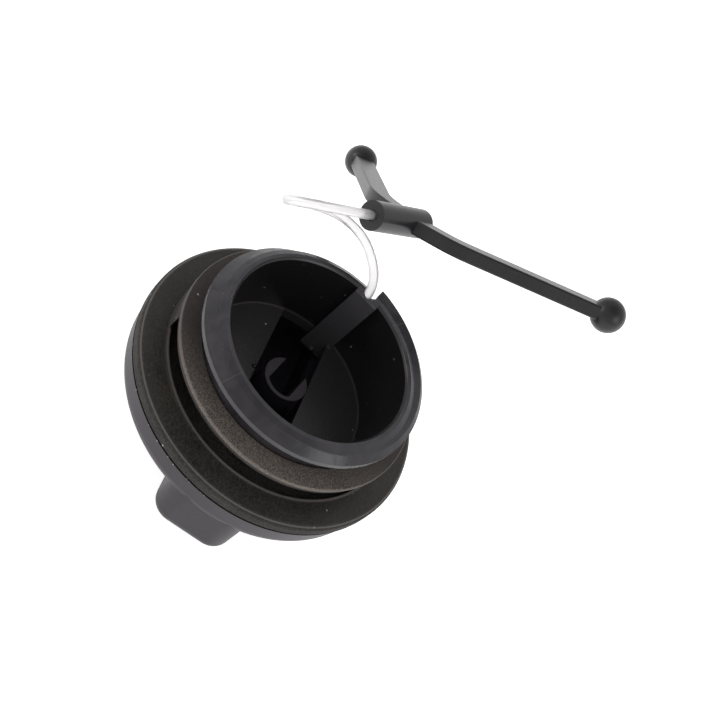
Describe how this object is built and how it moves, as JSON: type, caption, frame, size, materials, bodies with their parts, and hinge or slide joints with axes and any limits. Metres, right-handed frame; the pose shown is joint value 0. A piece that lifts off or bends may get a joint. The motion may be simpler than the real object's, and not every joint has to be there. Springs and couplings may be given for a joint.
{
  "type": "fuel cap",
  "caption": "Screw-in fuel cap with a grip bar, coarse thread and gasket, and a corded two-armed retainer.",
  "frame": {"origin": "centre of the flat bottom of the grip bar, on the cap's axis", "axes": "+Z is the cap's axis towards its open mouth, +X runs along the grip bar"},
  "size_m": [0.0819, 0.065, 0.0505],
  "materials": {
    "insert_plastic": "fine matte moulded black",
    "cover_plastic": "satin moulded black with a faint violet tone",
    "gasket_rubber": "matte rubber with fine dust",
    "retainer_plastic": "satin moulded black",
    "cord_nylon": "semi-gloss white nylon"
  },
  "bodies": {
    "cap": {"threaded_insert": "insert_plastic", "outer_cover": "cover_plastic", "gasket": "gasket_rubber", "cord_bead": "cord_nylon", "tether_cord": "cord_nylon"},
    "retainer": {"retainer": "retainer_plastic"}
  },
  "joints": [
    {"name": "retainer_swivel", "type": "hinge", "parent": "cap", "child": "retainer", "pos_m": [-0.02409, 0.00133, 0.03868], "axis": [-0.7011, 0.6609, -0.2677], "continuous": true}
  ]
}
